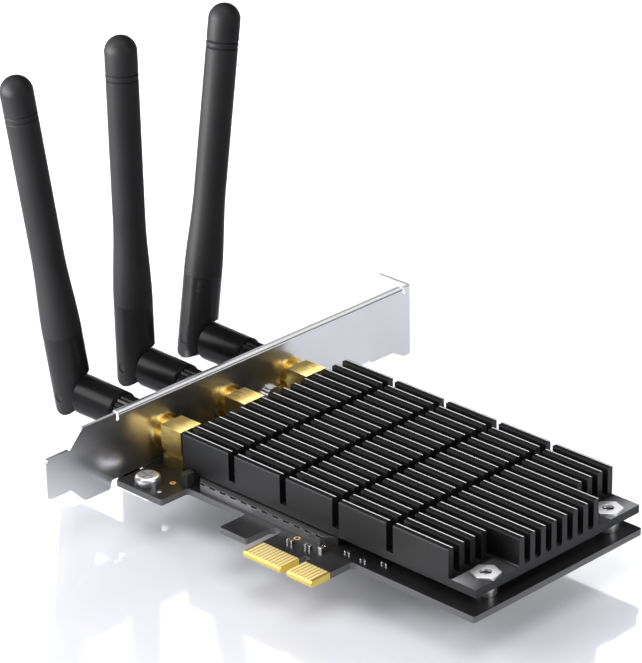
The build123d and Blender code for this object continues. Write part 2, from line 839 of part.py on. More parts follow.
    element_low = seam_height + spigot_length
    with BuildPart() as element:
        with BuildSketch(side):
            with BuildLine():
                skirt_low = element_low + 6
                skirt_high = skirt_low + skirt_length
                tip = dome_base - element_tip_gap
                Polyline(
                    (0, element_low),
                    (element_radius, element_low),
                    (element_radius, skirt_high - skirt_wall),
                    (skirt_radius - skirt_wall, skirt_high - skirt_wall),
                    (skirt_radius - skirt_wall, skirt_low),
                    (skirt_radius, skirt_low),
                    (skirt_radius, skirt_high),
                    (element_radius, skirt_high),
                    (element_radius, tip),
                    (0, tip),
                    close=True,
                )
            make_face()
        revolve(axis=upward)
    save(element, f"antenna_element_{number}")

# Pan head screws that hold the board to the bracket tabs
for number, (x, y) in enumerate(bracket_screw_spots, start=1):
    with BuildPart() as bracket_screw:
        with BuildSketch(Plane.XY.offset(board_top)):
            with Locations((x, y)):
                Circle(bracket_screw_head)
        extrude(amount=bracket_screw_head_height)
        rim = bracket_screw.edges().group_by(Axis.Z)[-1]
        fillet(rim, radius=0.45 * bracket_screw_head_height)
        with BuildSketch(Plane.XY.offset(board_top + bracket_screw_head_height)):
            with Locations((x, y)):
                Rectangle(recess_length, recess_width)
                Rectangle(recess_width, recess_length)
        extrude(amount=-recess_depth, mode=Mode.SUBTRACT)
        with BuildSketch(Plane.XY.offset(screw_tip_z)):
            with Locations((x, y)):
                Circle(bracket_screw_radius)
        extrude(amount=board_top - screw_tip_z)
    save(bracket_screw, f"bracket_screw_{number}")

# Standoffs, screws and nuts that hold the heat sink
with BuildPart() as standoffs:
    with BuildSketch(Plane.XY.offset(board_top)):
        with Locations(*sink_screw_spots):
            Circle(standoff_radius)
            Circle(sink_screw_radius + screw_clearance, mode=Mode.SUBTRACT)
    extrude(amount=sink_gap)
save(standoffs, "standoffs")

with BuildPart() as sink_screws:
    with BuildSketch(Plane.XY.offset(screw_tip_z)):
        with Locations(*sink_screw_spots):
            Circle(sink_screw_head)
    extrude(amount=foot_drop)
    with BuildSketch(Plane.XY.offset(screw_tip_z)):
        with Locations(*sink_screw_spots):
            Rectangle(recess_length, recess_width)
            Rectangle(recess_width, recess_length)
    extrude(amount=recess_depth, mode=Mode.SUBTRACT)
    with BuildSketch(Plane.XY.offset(board_bottom)):
        with Locations(*[(sink_screw_x[0], y) for y in sink_screw_y]):
            Circle(sink_screw_radius)
    extrude(amount=board_thickness + sink_gap + sink_base - 0.6)
    with BuildSketch(Plane.XY.offset(board_bottom)):
        with Locations(*far_screw_spots):
            Circle(sink_screw_radius)
    extrude(amount=sink_base_z - 0.3 * hex_nut_height - board_bottom)
save(sink_screws, "heat_sink_screws")

with BuildPart() as hex_nuts:
    with BuildSketch(Plane.XY.offset(sink_base_z)):
        with Locations(*far_screw_spots):
            RegularPolygon(
                hex_nut_flats / 2,
                6,
                major_radius=False,
                rotation=hex_nut_turn,
            )
            Circle(sink_screw_radius, mode=Mode.SUBTRACT)
    extrude(amount=hex_nut_height)
save(hex_nuts, "hex_nuts")
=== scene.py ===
"""Looks of a wireless expansion card with a finned heat sink and hinged antennas.

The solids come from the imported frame. Each class below dresses one sub-assembly of the card: it eases
the solids' sharp edges, adds the tinned ends of the small parts and gives every piece its finish. The
camera, the table and the lights are built here too. All lengths are in metres, in the frame's own axes.
"""
from __future__ import annotations

import logging
import math
from dataclasses import dataclass
from enum import Enum

import bmesh
import bpy
import numpy as np
from mathutils import Matrix, Vector


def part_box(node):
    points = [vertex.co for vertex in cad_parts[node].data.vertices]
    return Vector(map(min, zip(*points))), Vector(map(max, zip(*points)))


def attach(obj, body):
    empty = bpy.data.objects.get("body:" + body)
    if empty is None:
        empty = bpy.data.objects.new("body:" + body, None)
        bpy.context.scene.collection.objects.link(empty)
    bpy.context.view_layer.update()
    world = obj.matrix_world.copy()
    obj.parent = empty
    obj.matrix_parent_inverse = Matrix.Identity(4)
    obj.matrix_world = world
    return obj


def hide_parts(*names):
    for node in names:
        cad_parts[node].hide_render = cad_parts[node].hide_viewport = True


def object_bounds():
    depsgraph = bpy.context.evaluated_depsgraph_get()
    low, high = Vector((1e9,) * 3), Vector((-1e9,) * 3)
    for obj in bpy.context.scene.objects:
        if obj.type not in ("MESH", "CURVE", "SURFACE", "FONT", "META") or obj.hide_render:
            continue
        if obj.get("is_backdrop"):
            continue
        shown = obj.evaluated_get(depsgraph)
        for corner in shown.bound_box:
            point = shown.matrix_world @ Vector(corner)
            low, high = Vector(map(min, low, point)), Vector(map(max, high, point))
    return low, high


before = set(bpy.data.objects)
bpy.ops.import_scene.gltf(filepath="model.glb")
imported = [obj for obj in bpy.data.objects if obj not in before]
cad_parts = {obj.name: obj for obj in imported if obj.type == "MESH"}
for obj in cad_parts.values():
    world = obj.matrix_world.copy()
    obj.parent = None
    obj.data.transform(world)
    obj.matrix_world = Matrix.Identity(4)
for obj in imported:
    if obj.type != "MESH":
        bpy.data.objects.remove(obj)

LOG = logging.getLogger("card")
MM = 0.001
ANTENNAS = (1, 2, 3)
WELD_GRID = 0.0005 * MM
FLAT_ANGLE = math.radians(0.3)
SHARP_ANGLE = math.radians(30.0)

Colour = tuple[float, float, float]
Span = tuple[float, float]
Socket = bpy.types.NodeSocket
Piece = bpy.types.Object


class Relief(Enum):
    """The kinds of fine surface relief that a metal finish can have."""

    GRAIN = "grain"
    BRUSHED_X = "brushed along x"
    BRUSHED_Y = "brushed along y"


class Reach(Enum):
    """The kinds of piece that a linked light can reach."""

    TABLE = "the table"
    PLATE = "the bracket's sheet"
    METAL = "the bracket, its screws and the hexagon nuts"
    NUTS = "all nuts and the bracket's screws"
    CONTACTS = "the upper edge contacts"
    JACKS = "the bodies and washers of the jacks"
    ANTENNAS = "the knuckles, sleeves and pins of the antennas"


class NodeDesk:
    """Builds one material's node tree, with short names for the nodes in use."""

    BLEND_START = 0.35
    BLEND_STOP = 0.65

    def __init__(self, name: str) -> None:
        """Start an empty material.

        Args:
            name: the material's name.
        """
        self.material = bpy.data.materials.new(name)
        self.material.use_nodes = True
        self.tree = self.material.node_tree
        self.tree.nodes.clear()
        self.output = self.tree.nodes.new("ShaderNodeOutputMaterial")
        self.shader = self.tree.nodes.new("ShaderNodeBsdfPrincipled")
        self.tree.links.new(self.shader.outputs["BSDF"], self.output.inputs["Surface"])

    def add(self, kind: str, **values: object) -> bpy.types.Node:
        """Add a node and set its properties.

        Args:
            kind: Blender's node type.
            values: node properties by name.

        Returns:
            The new node.
        """
        node = self.tree.nodes.new(kind)
        for key, value in values.items():
            setattr(node, key, value)
        return node

    def link(self, source: Socket, target: Socket) -> None:
        """Link one socket to another."""
        self.tree.links.new(source, target)

    def set(self, **values: object) -> None:
        """Set shader sockets to fixed values, with underscores for spaces."""
        for key, value in values.items():
            self.shader.inputs[key.replace("_", " ")].default_value = value

    def place(self, scale: tuple[float, float, float] = (1.0, 1.0, 1.0)) -> Socket:
        """Object coordinates stretched by a scale.

        Args:
            scale: factor along each axis.

        Returns:
            The vector socket.
        """
        coords = self.add("ShaderNodeTexCoord")
        mapping = self.add("ShaderNodeMapping")
        mapping.inputs["Scale"].default_value = scale
        self.link(coords.outputs["Object"], mapping.inputs["Vector"])
        return mapping.outputs["Vector"]

    def noise(self, vector: Socket, scale: float, detail: float = 3.0) -> Socket:
        """Noise from 0 to 1 on a vector.

        Args:
            vector: the coordinates.
            scale: cells per metre of those coordinates.
            detail: octaves.

        Returns:
            The factor socket.
        """
        node = self.add("ShaderNodeTexNoise")
        node.inputs["Scale"].default_value = scale
        node.inputs["Detail"].default_value = detail
        self.link(vector, node.inputs["Vector"])
        return node.outputs["Fac"]

    def spread(self, value: Socket, low: float, high: float) -> Socket:
        """Map 0..1 onto low..high.

        Args:
            value: the input socket.
            low: result at 0.
            high: result at 1.

        Returns:
            The mapped socket.
        """
        node = self.add("ShaderNodeMapRange")
        node.inputs["To Min"].default_value = low
        node.inputs["To Max"].default_value = high
        self.link(value, node.inputs["Value"])
        return node.outputs["Result"]

    def tint(self, value: Socket, low: Colour, high: Colour) -> Socket:
        """Blend two colours by a value, over the middle of its range.

        Args:
            value: the factor socket.
            low: colour at and below BLEND_START.
            high: colour at and above BLEND_STOP.

        Returns:
            The colour socket.
        """
        node = self.add("ShaderNodeValToRGB")
        start, stop = node.color_ramp.elements
        start.position = self.BLEND_START
        start.color = (*low, 1.0)
        stop.position = self.BLEND_STOP
        stop.color = (*high, 1.0)
        self.link(value, node.inputs["Fac"])
        return node.outputs["Color"]

    def calc(self, operation: str, *inputs: Socket | float) -> Socket:
        """Combine sockets and numbers with one maths node.

        Args:
            operation: Blender's name of the operation.
            inputs: its inputs in order.

        Returns:
            The result socket.
        """
        node = self.add("ShaderNodeMath", operation=operation)
        for socket, value in zip(node.inputs, inputs):
            if isinstance(value, (int, float)):
                socket.default_value = value
            else:
                self.link(value, socket)
        return node.outputs[0]

    def over(self, value: Socket, limit: float) -> Socket:
        """Mask that is 1 where a value is over a limit and 0 elsewhere."""
        return self.calc("GREATER_THAN", value, limit)

    def under(self, value: Socket, limit: float) -> Socket:
        """Mask that is 1 where a value is under a limit and 0 elsewhere."""
        return self.calc("LESS_THAN", value, limit)

    def shared(self, *masks: Socket) -> Socket:
        """Mask that is 1 only where all the given masks are.

        Args:
            masks: two or more masks.

        Returns:
            Their product.
        """
        whole = masks[0]
        for mask in masks[1:]:
            whole = self.calc("MULTIPLY", whole, mask)
        return whole

    def within(self, value: Socket, low: float, high: float) -> Socket:
        """Mask that is 1 where a value lies between two limits and 0 elsewhere."""
        return self.shared(self.over(value, low), self.under(value, high))

    def axes(self) -> tuple[Socket, Socket, Socket]:
        """Split the object coordinates.

        Returns:
            The x, y and z sockets, in metres.
        """
        coords = self.add("ShaderNodeTexCoord")
        split = self.add("ShaderNodeSeparateXYZ")
        self.link(coords.outputs["Object"], split.inputs["Vector"])
        return split.outputs["X"], split.outputs["Y"], split.outputs["Z"]

    def facing(self, axis: str) -> Socket:
        """Component of the surface normal along one axis.

        Args:
            axis: X, Y or Z.

        Returns:
            The component, from -1 to 1.
        """
        shape = self.add("ShaderNodeNewGeometry")
        split = self.add("ShaderNodeSeparateXYZ")
        self.link(shape.outputs["True Normal"], split.inputs["Vector"])
        return split.outputs[axis]

    def blend(self, mask: Socket, base: Socket | Colour, over: Socket | Colour) -> Socket:
        """Lay one colour over another through a mask.

        Args:
            mask: 0 shows the base, 1 shows the other colour.
            base: the colour below.
            over: the colour above.

        Returns:
            The colour socket.
        """
        node = self.add("ShaderNodeMix", data_type="RGBA")
        self.link(mask, node.inputs["Factor"])
        for name, value in (("A", base), ("B", over)):
            socket = next(i for i in node.inputs if i.name == name and i.type == "RGBA")
            if isinstance(value, tuple):
                socket.default_value = (*value, 1.0)
            else:
                self.link(value, socket)
        return next(o for o in node.outputs if o.type == "RGBA")

    def dress(self, colour: Socket, roughness: Socket) -> None:
        """Give the shader its colour and its roughness."""
        self.link(colour, self.shader.inputs["Base Color"])
        self.link(roughness, self.shader.inputs["Roughness"])

    def bump(self, height: Socket, depth: float, strength: float) -> None:
        """Drive the shader's normal by a height.

        Args:
            height: the height socket, 0 to 1.
            depth: real depth of the relief in metres.
            strength: share of the relief that shows.
        """
        node = self.add("ShaderNodeBump")
        node.inputs["Distance"].default_value = depth
        node.inputs["Strength"].default_value = strength
        self.link(height, node.inputs["Height"])
        self.link(node.outputs["Normal"], self.shader.inputs["Normal"])


def darker(colour: Colour, share: float) -> Colour:
    """Scale a colour down to a share of itself."""
    return tuple(share * channel for channel in colour)


@dataclass(frozen=True)
class MetalFinish:
    """A bare or plated metal with a fine relief.

    The colour varies between two tones on a soft noise, and the roughness follows a finer one, which
    is drawn out along the brushing.

    Attributes:
        tone, deep: the lighter and the darker colour.
        rough: least and greatest roughness.
        cloud, grain: cells per metre of the soft and of the fine noise.
        depth, strength: depth of the relief and the share of it that shows.
        drawn: scale of the fine noise along the brushing.
    """

    name: str
    tone: Colour
    deep: Colour
    rough: Span
    relief: Relief = Relief.GRAIN
    cloud: float = 60.0
    grain: float = 900.0
    depth: float = 0.01 * MM
    strength: float = 0.2
    drawn: float = 0.03

    def material(self) -> bpy.types.Material:
        """Build the finish.

        Returns:
            Its material.
        """
        desk = NodeDesk(self.name)
        stretch = {
            Relief.GRAIN: (1.0, 1.0, 1.0),
            Relief.BRUSHED_X: (self.drawn, 1.0, 1.0),
            Relief.BRUSHED_Y: (1.0, self.drawn, 1.0),
        }[self.relief]
        cloud = desk.noise(desk.place(), self.cloud, detail=2.0)
        grain = desk.noise(desk.place(stretch), self.grain, detail=4.0)
        desk.dress(desk.tint(cloud, self.deep, self.tone), desk.spread(grain, *self.rough))
        desk.set(Metallic=1.0)
        desk.bump(grain, self.depth, self.strength)
        return desk.material


@dataclass(frozen=True)
class MouldedFinish:
    """A moulded polymer, or a paint, with a satin grain.

    Its fields mean what a MetalFinish's do, and specular is the strength of its clear reflection.
    """

    name: str
    tone: Colour
    deep: Colour
    rough: Span
    cloud: float = 90.0
    grain: float = 2600.0
    depth: float = 0.02 * MM
    strength: float = 0.25
    specular: float = 0.5

    def material(self) -> bpy.types.Material:
        """Build the finish.

        Returns:
            Its material.
        """
        desk = NodeDesk(self.name)
        place = desk.place()
        cloud = desk.noise(place, self.cloud)
        grain = desk.noise(place, self.grain)
        desk.dress(desk.tint(cloud, self.deep, self.tone), desk.spread(cloud, *self.rough))
        desk.set(Specular_IOR_Level=self.specular)
        desk.bump(grain, self.depth, self.strength)
        return desk.material


@dataclass(frozen=True)
class SinkFinish:
    """Black anodised extrusion, with painted light on its fins and on the milled floors of its cleared
    corners.

    A painted highlight line runs along each fin's back edge, and the upper rims of the fins' front faces
    are painted lighter, as lit rims.
    Each cleared corner's floor is painted from shade to a sheen of reflected light: the near one's
    towards its front inner end, and the far one's towards the end of the sink.

    Attributes:
        up_from: least z of the normal on a face that looks up.
        front_from: greatest y of the normal on a face that looks to the front.
        pitch, thickness: the fins' pitch and thickness.
        line, line_height, line_margin: width of a painted highlight line, how far it reaches down the fin
            and its distance from the fin's back face.
        rim_light_height: height of the rim that is painted lighter.
        base: thickness under the cleared corners' floors.
        floor_below, floor_above: how far from that height a floor's points may lie.
        corner, corner_margin, corner_fade: x and y of the near floor's brightest painted sheen, how far
            before that x a floor still counts, and the distance over which the near floor's painted sheen
            fades to painted shade.
        far_side, far_fade: y past which a floor is the far one, and the distance over which its painted
            sheen brightens.
    """

    name: str = "sink_anodised"
    tone: Colour = (0.006, 0.006, 0.0065)
    deep_share: float = 0.8
    # painted highlight: the bright line on each fin's back edge
    edge_highlight: Colour = (0.78, 0.78, 0.8)
    # painted highlight: the lighter upper rim of each fin's front face
    rim_light: Colour = (0.05, 0.05, 0.052)
    # painted shade and painted reflected sheen of the cleared corners' floors
    floor_in_shade: Colour = (0.05, 0.05, 0.0515)
    floor_sheen: Colour = (0.34, 0.34, 0.35)
    rough: Span = (0.38, 0.46)
    cloud: float = 70.0
    grain: float = 3200.0
    depth: float = 0.008 * MM
    strength: float = 0.2
    up_from: float = 0.3
    front_from: float = -0.2
    pitch: float = 3.5 * MM
    thickness: float = 1.6 * MM
    line: float = 0.3 * MM
    line_height: float = 0.4 * MM
    line_margin: float = 0.15 * MM
    rim_light_height: float = 0.45 * MM
    base: float = 2.0 * MM
    floor_below: float = 0.05 * MM
    floor_above: float = 0.02 * MM
    corner: Span = (36.0 * MM, 15.4 * MM)
    corner_margin: float = 0.3 * MM
    corner_fade: float = 9.0 * MM
    far_side: float = 60.0 * MM
    far_fade: float = 5.0 * MM

    def edges(self, desk: NodeDesk, up: Socket, first_fin: float, top: float) -> Socket:
        """Mark the painted highlight line along each fin's back edge.

        The distance across the fins is taken modulo their pitch, and the line is a narrow band of it.

        Args:
            desk: the material in the making.
            up: mask of the faces that look up.
            first_fin: y of the first fin's front face.
            top: height of the fins' top faces.

        Returns:
            A mask that is 1 on the lines.
        """
        _, y, z = desk.axes()
        across = desk.calc("FLOORED_MODULO", desk.calc("SUBTRACT", y, first_fin), self.pitch)
        stop = self.thickness - self.line_margin
        strip = desk.within(across, stop - self.line, stop)
        return desk.shared(strip, desk.over(z, top - self.line_height), up)

    def floors(self, desk: NodeDesk, up: Socket, height: float) -> tuple[Socket, Socket]:
        """Mark the cleared corners' floors and paint them from shade to a reflected sheen.

        Args:
            desk: the material in the making.
            up: mask of the faces that look up.
            height: height of the floors.

        Returns:
            A mask that is 1 on the floors, and their painted shade and sheen.
        """
        x, y, z = desk.axes()
        level = desk.within(z, height - self.floor_below, height + self.floor_above)
        east = desk.calc("SUBTRACT", x, self.corner[0])
        north = desk.calc("SUBTRACT", y, self.corner[1])
        floor = desk.shared(level, up, desk.over(east, -self.corner_margin))
        away = desk.calc("DIVIDE", desk.calc("ADD", east, north), self.corner_fade)
        far = desk.over(y, self.far_side)
        light = desk.calc("MULTIPLY", far, desk.calc("DIVIDE", east, self.far_fade))
        light = desk.calc("MAXIMUM", light, desk.calc("SUBTRACT", 1.0, away))
        return floor, desk.blend(light, self.floor_in_shade, self.floor_sheen)

    def material(self) -> bpy.types.Material:
        """Build the finish.

        Returns:
            Its material.
        """
        low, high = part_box("heat_sink")
        desk = NodeDesk(self.name)
        place = desk.place()
        cloud = desk.noise(place, self.cloud)
        grain = desk.noise(place, self.grain)
        _, _, z = desk.axes()
        up = desk.over(desk.facing("Z"), self.up_from)
        front = desk.under(desk.facing("Y"), self.front_from)
        # the upper rim of each fin's front face is painted lighter, a painted highlight
        rim = desk.shared(front, desk.over(z, high[2] - self.rim_light_height))
        # the cleared corners' floors get painted shade and painted reflected sheen
        floor, floor_painted_sheen = self.floors(desk, up, low[2] + self.base)
        shade = desk.tint(cloud, darker(self.tone, self.deep_share), self.tone)
        shade = desk.blend(floor, shade, floor_painted_sheen)
        shade = desk.blend(rim, shade, self.rim_light)
        # painted highlight lines along the fins' back edges
        shade = desk.blend(self.edges(desk, up, low[1], high[2]), shade, self.edge_highlight)
        desk.dress(shade, desk.spread(cloud, *self.rough))
        desk.bump(grain, self.depth, self.strength)
        return desk.material


@dataclass(frozen=True)
class PlateFinish:
    """Nickel-plated sheet, satin, with painted shade on its inner side beside the board's edge.

    Attributes:
        inner_from: least x of the normal on faces that count as the inner side.
        shade_band_half: half the height of the painted shade, about the board's middle plane.
            shade_band_start, shade_band_end: y where the painted shade starts and ends.
    """

    name: str = "bracket_plate"
    tone: Colour = (0.9, 0.9, 0.92)
    deep: Colour = (0.85, 0.85, 0.87)
    # painted shade: the dark band on the inner side beside the board's edge
    shade_band: Colour = (0.02, 0.02, 0.021)
    rough: Span = (0.23, 0.28)
    cloud: float = 60.0
    grain: float = 700.0
    depth: float = 0.002 * MM
    strength: float = 0.02
    inner_from: float = -0.5
    shade_band_half: float = 0.95 * MM
    shade_band_start: float = 7.0 * MM
    shade_band_end: float = 72.0 * MM

    def material(self) -> bpy.types.Material:
        """Build the finish.

        Returns:
            Its material.
        """
        desk = NodeDesk(self.name)
        cloud = desk.noise(desk.place(), self.cloud, detail=2.0)
        grain = desk.noise(desk.place(), self.grain, detail=4.0)
        _, y, z = desk.axes()
        level = desk.within(z, -self.shade_band_half, self.shade_band_half)
        inner = desk.over(desk.facing("X"), self.inner_from)
        beside = desk.within(y, self.shade_band_start, self.shade_band_end)
        tone = desk.tint(cloud, self.deep, self.tone)
        # the inner face beside the board's edge is painted dark, as painted shade
        shade = desk.blend(desk.shared(level, inner, beside), tone, self.shade_band)
        desk.dress(shade, desk.spread(grain, *self.rough))
        desk.set(Metallic=1.0)
        desk.bump(grain, self.depth, self.strength)
        return desk.material


@dataclass(frozen=True)
class ShieldFinish:
    """Tinned sheet with slits under its front edge, painted dark as shade.

    The solid has a notch for each slit. What lies a little behind its front face and a little under its
    top is painted dark and dull, as painted shade inside the slits.

    Attributes:
        drawn: scale of the fine noise along the sheet's rolling.
        slit_shade_behind: nearest and farthest point of painted shade behind the front face.
            slit_shade_under: nearest and farthest point of painted shade under the top.
        slit_shade_under: nearest and farthest dark point under the top.
    """

    name: str = "shield_tin"
    tone: Colour = (0.24, 0.24, 0.246)
    deep: Colour = (0.2, 0.2, 0.205)
    # painted shade inside the slits
    slit_shade: Colour = (0.012, 0.012, 0.012)
    rough: Span = (0.4, 0.5)
    cloud: float = 50.0
    grain: float = 1500.0
    drawn: float = 0.05
    depth: float = 0.006 * MM
    strength: float = 0.1
    slit_shade_behind: Span = (0.03 * MM, 0.41 * MM)
    slit_shade_under: Span = (0.04 * MM, 0.4 * MM)

    def material(self) -> bpy.types.Material:
        """Build the finish.

        Returns:
            Its material.
        """
        low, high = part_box("shield_can")
        desk = NodeDesk(self.name)
        cloud = desk.noise(desk.place(), self.cloud, detail=2.0)
        grain = desk.noise(desk.place((self.drawn, 1.0, 1.0)), self.grain)
        _, y, z = desk.axes()
        behind = desk.within(y, low[1] + self.slit_shade_behind[0], low[1] + self.slit_shade_behind[1])
        beneath = desk.within(z, high[2] - self.slit_shade_under[1], high[2] - self.slit_shade_under[0])
        # the slits' walls are painted dark and dull, as painted shade
        slit_shade = desk.shared(behind, beneath)
        tone = desk.tint(cloud, self.deep, self.tone)
        desk.dress(desk.blend(slit_shade, tone, self.slit_shade), desk.spread(grain, *self.rough))
        desk.link(desk.calc("SUBTRACT", 1.0, slit_shade), desk.shader.inputs["Metallic"])
        desk.bump(grain, self.depth, self.strength)
        return desk.material


@dataclass(frozen=True)
class RoundPad:
    """A bare round pad or ring on the board's upper side, by its centre and its two radii."""

    x: float
    y: float
    inner: float
    outer: float


@dataclass(frozen=True)
class BoardFinish:
    """Black solder mask with paler sawn edges, bare pads and yellow laminate round the fingers.

    Attributes:
        edge: colour of the sawn edges.
        laminate, gap: colour of the fingers' edges, and between their contacts.
        side_below: a face is an edge where its normal's z is less than this, up or down.
        up_from: least z of the normal on the upper side.
        finger_reach, finger_side: y and distance from the middle within which the board is finger.
    """

    name: str = "board_mask"
    mask: Colour = (0.015, 0.015, 0.016)
    deep_share: float = 0.85
    edge: Colour = (0.12, 0.12, 0.124)
    laminate: Colour = (0.8, 0.6, 0.1)
    gap: Colour = (0.3, 0.19, 0.05)
    gold: Colour = (0.8, 0.45, 0.12)
    silver: Colour = (0.55, 0.55, 0.56)
    rough: Span = (0.24, 0.36)
    cloud: float = 90.0
    grain: float = 1500.0
    depth: float = 0.008 * MM
    strength: float = 0.15
    side_below: float = 0.85
    up_from: float = 0.5
    finger_reach: float = 5.9 * MM
    finger_side: float = 13.0 * MM
    gold_pads: tuple[RoundPad, ...] = (
        RoundPad(-48.0 * MM, 12.1 * MM, 0.25 * MM, 0.75 * MM),
        RoundPad(-8.0 * MM, 12.4 * MM, 0.45 * MM, 0.8 * MM),
    )
    silver_pads: tuple[RoundPad, ...] = (RoundPad(-47.0 * MM, 6.9 * MM, 0.0, 0.5 * MM),)

    def rings(self, desk: NodeDesk, pads: tuple[RoundPad, ...]) -> Socket:
        """Mark bare pads: the points whose distance from a centre lies between two radii.

        Args:
            desk: the material in the making.
            pads: the pads.

        Returns:
            A mask that is 1 on the pads.
        """
        x, y, _ = desk.axes()
        marks = []
        for pad in pads:
            east = desk.calc("SUBTRACT", x, pad.x)
            north = desk.calc("SUBTRACT", y, pad.y)
            squares = desk.calc("MULTIPLY", east, east), desk.calc("MULTIPLY", north, north)
            reach = desk.calc("SQRT", desk.calc("ADD", *squares))
            marks.append(desk.within(reach, pad.inner, pad.outer))
        mask = marks[0]
        for mark in marks[1:]:
            mask = desk.calc("MAXIMUM", mask, mark)
        return desk.shared(mask, desk.over(desk.facing("Z"), self.up_from))

    def material(self) -> bpy.types.Material:
        """Build the finish.

        Returns:
            Its material.
        """
        desk = NodeDesk(self.name)
        place = desk.place()
        cloud = desk.noise(place, self.cloud)
        grain = desk.noise(place, self.grain)
        x, y, _ = desk.axes()
        side = desk.under(desk.calc("ABSOLUTE", desk.facing("Z")), self.side_below)
        near = desk.under(y, self.finger_reach)
        finger = desk.shared(near, desk.under(desk.calc("ABSOLUTE", x), self.finger_side))
        shade = desk.tint(cloud, darker(self.mask, self.deep_share), self.mask)
        shade = desk.blend(side, shade, self.edge)
        shade = desk.blend(finger, shade, desk.blend(side, self.gap, self.laminate))
        shade = desk.blend(self.rings(desk, self.gold_pads), shade, self.gold)
        shade = desk.blend(self.rings(desk, self.silver_pads), shade, self.silver)
        desk.dress(shade, desk.spread(cloud, *self.rough))
        desk.bump(grain, self.depth, self.strength)
        return desk.material


class Finishes:
    """Every finish of the card, made once."""

    def __init__(self) -> None:
        """Build the finishes."""
        self.bracket = PlateFinish().material()
        self.gold = MetalFinish(
            "jack_gold", (0.98, 0.76, 0.28), (0.88, 0.6, 0.17), (0.24, 0.34),
            relief=Relief.BRUSHED_X, cloud=420.0, grain=2500.0, depth=0.004 * MM, strength=0.06,
        ).material()
        self.contact = MetalFinish(
            "contact_gold", (0.97, 0.8, 0.4), (0.94, 0.74, 0.3), (0.34, 0.46),
            relief=Relief.BRUSHED_Y, grain=4000.0, depth=0.004 * MM, strength=0.15,
        ).material()
        self.sink = SinkFinish().material()
        self.board = BoardFinish().material()
        self.shield = ShieldFinish().material()
        self.tin = MetalFinish(
            "solder_tin", (0.85, 0.85, 0.86), (0.75, 0.75, 0.77), (0.16, 0.3), grain=2500.0,
        ).material()
        self.zinc = MetalFinish(
            "bright_zinc", (0.84, 0.84, 0.85), (0.74, 0.74, 0.76), (0.26, 0.42),
            grain=3000.0, depth=0.012 * MM,
        ).material()
        self.sleeve_plastic = MouldedFinish(
            "antenna_satin", (0.0125, 0.0125, 0.0132), (0.0102, 0.0102, 0.0108), (0.44, 0.52),
            strength=0.2, specular=0.1,
        ).material()
        self.hinge_plastic = MouldedFinish(
            "hinge_satin", (0.0085, 0.0085, 0.009), (0.0068, 0.0068, 0.0072), (0.26, 0.33),
            depth=0.01 * MM, strength=0.12, specular=0.13,
        ).material()
        self.collar_black = MouldedFinish(
            "collar_black", (0.007, 0.007, 0.0075), (0.005, 0.005, 0.0054), (0.2, 0.3),
            grain=2500.0, depth=0.01 * MM, strength=0.1, specular=0.3,
        ).material()
        self.chip = MouldedFinish(
            "chip_epoxy", (0.03, 0.03, 0.032), (0.02, 0.02, 0.022), (0.5, 0.65),
        ).material()
        self.ceramic = MouldedFinish(
            "capacitor_ceramic", (0.1, 0.075, 0.055), (0.07, 0.05, 0.035), (0.4, 0.55),
        ).material()
        self.insulator = MouldedFinish(
            "white_insulator", (0.8, 0.79, 0.75), (0.74, 0.73, 0.7), (0.35, 0.5),
        ).material()
        self.pad = MouldedFinish(
            "heat_pad", (0.35, 0.4, 0.45), (0.3, 0.34, 0.4), (0.7, 0.9),
        ).material()
        self.brass = MetalFinish(
            "bare_brass", (0.75, 0.56, 0.25), (0.65, 0.47, 0.2), (0.25, 0.4),
        ).material()


def merged_mesh(node: str) -> bpy.types.Mesh:
    """Copy a solid's triangles with their shared corners merged and flat faces joined.

    The corners are rounded to a fine grid and equal ones become one. Triangles that lose a corner by
    that are dropped, and neighbours in one plane are joined.

    Args:
        node: name of the solid.

    Returns:
        A new mesh in the frame's axes.
    """
    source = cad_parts[node].data
    points = np.empty(len(source.vertices) * 3)
    source.vertices.foreach_get("co", points)
    points = points.reshape(-1, 3)
    corners = np.empty(len(source.loops), dtype=np.int64)
    source.loops.foreach_get("vertex_index", corners)
    grid = np.round(points / WELD_GRID).astype(np.int64)
    _, first, back = np.unique(grid, axis=0, return_index=True, return_inverse=True)
    faces = back.reshape(-1)[corners].reshape(-1, 3)
    whole = np.all(faces != np.roll(faces, 1, axis=1), axis=1)
    mesh = bpy.data.meshes.new(f"{node}_mesh")
    mesh.from_pydata(points[first].tolist(), [], faces[whole].tolist())
    work = bmesh.new()
    work.from_mesh(mesh)
    bmesh.ops.dissolve_limit(work, angle_limit=FLAT_ANGLE, verts=work.verts, edges=work.edges)
    work.to_mesh(mesh)
    work.free()
    return mesh


def finish_piece(
    piece: Piece,
    material: bpy.types.Material,
    body: str,
    stands_for: tuple[str, ...] = (),
) -> Piece:
    """Link a piece, dress it and let it ride on its body.

    Args:
        piece: the new object, already in place.
        material: its finish.
        body: the frame's body that it moves with.
        stands_for: solids that it replaces.

    Returns:
        The same object.
    """
    bpy.context.scene.collection.objects.link(piece)
    piece.data.materials.append(material)
    if stands_for:
        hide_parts(*stands_for)
    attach(piece, body)
    LOG.info("%s: %d faces", piece.name, len(piece.data.polygons))
    return piece


@dataclass
class EasedSolid:
    """A solid of the frame with its sharp edges eased by a small round, as wide as ease."""

    node: str
    material: bpy.types.Material
    ease: float
    body: str = "root"
    segments: int = 2

    def build(self) -> Piece:
        """Make the eased copy and let it stand for its solid.

        Returns:
            The eased piece.
        """
        mesh = merged_mesh(self.node)
        mesh.shade_smooth()
        mesh.set_sharp_from_angle(angle=SHARP_ANGLE)
        piece = bpy.data.objects.new(f"{self.node}_eased", mesh)
        bevel = piece.modifiers.new("ease", "BEVEL")
        bevel.width = self.ease
        bevel.segments = self.segments
        bevel.limit_method = "ANGLE"
        bevel.angle_limit = SHARP_ANGLE
        bevel.harden_normals = True
        return finish_piece(piece, self.material, self.body, (self.node,))


